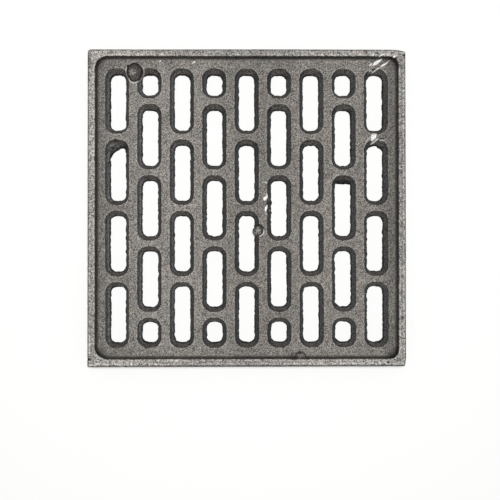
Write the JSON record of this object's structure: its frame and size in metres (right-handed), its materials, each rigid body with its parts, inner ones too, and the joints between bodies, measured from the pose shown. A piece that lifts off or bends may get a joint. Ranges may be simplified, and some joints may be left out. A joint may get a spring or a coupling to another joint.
{
  "type": "ventilation grille",
  "caption": "Square cast-iron grille: a flat plate with a raised rim and staggered rows of tapered, round-ended slots that let air and ash through.",
  "frame": {"origin": "centre of the plate's underside, which is the bottom centre of its box", "axes": "+X to the picture's right, +Y to its top, along the slots, and +Z from the underside toward the rim"},
  "size_m": [0.2, 0.2, 0.012],
  "materials": {
    "cast_iron": "rough sand-cast, bare, with light rust"
  },
  "bodies": {
    "root": {"grille_casting": "cast_iron"}
  },
  "joints": []
}
